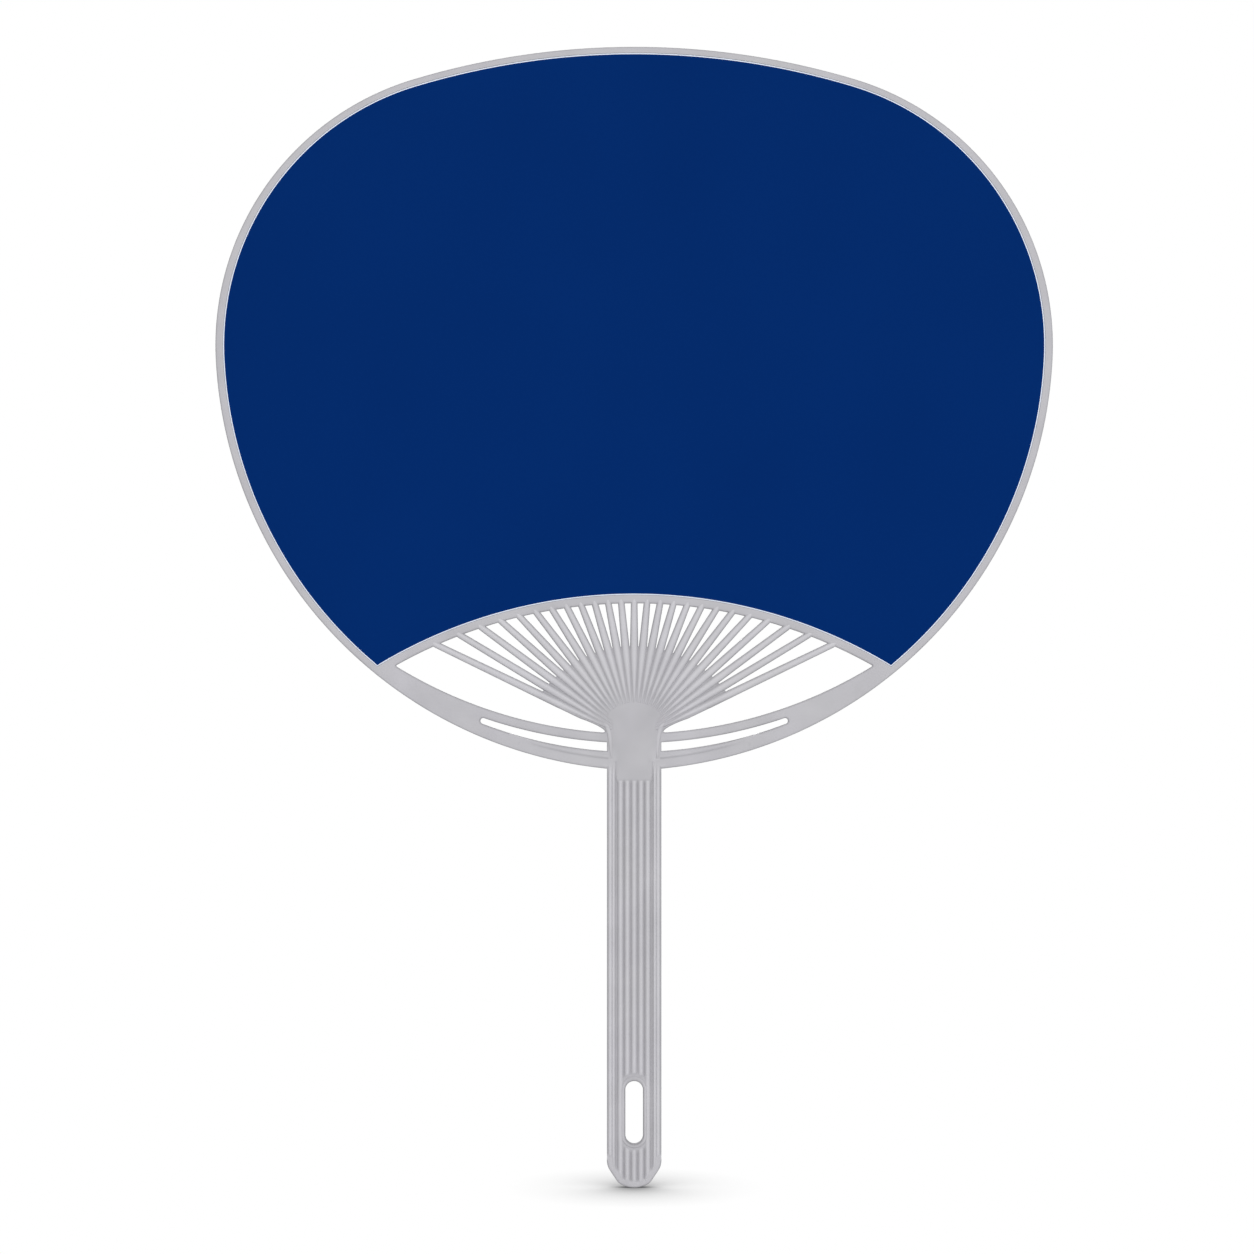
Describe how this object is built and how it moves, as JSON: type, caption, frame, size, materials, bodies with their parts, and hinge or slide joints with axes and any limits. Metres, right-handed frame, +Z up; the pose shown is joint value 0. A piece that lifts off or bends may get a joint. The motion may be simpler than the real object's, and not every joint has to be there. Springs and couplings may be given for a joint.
{
  "type": "uchiwa hand fan",
  "caption": "Flat uchiwa hand fan with a moulded plastic skeleton of handle, ribs, bow arms and rim, a plain blue sheet glued on each face, and a hang slot in the handle.",
  "frame": {"origin": "bottom of the handle's tip, on the middle plane between front and back", "axes": "+Z up the handle to the top of the head, +X to the right across the head as seen from the front, front faces -Y"},
  "size_m": [0.246, 0.0038, 0.335],
  "materials": {
    "milky_plastic": "satin, slightly translucent",
    "blue_sheet": "matt print",
    "glue": "matt"
  },
  "bodies": {
    "root": {"skeleton": "milky_plastic", "front_glue": "glue", "front_sheet": "blue_sheet", "back_glue": "glue", "back_sheet": "blue_sheet"}
  },
  "joints": []
}
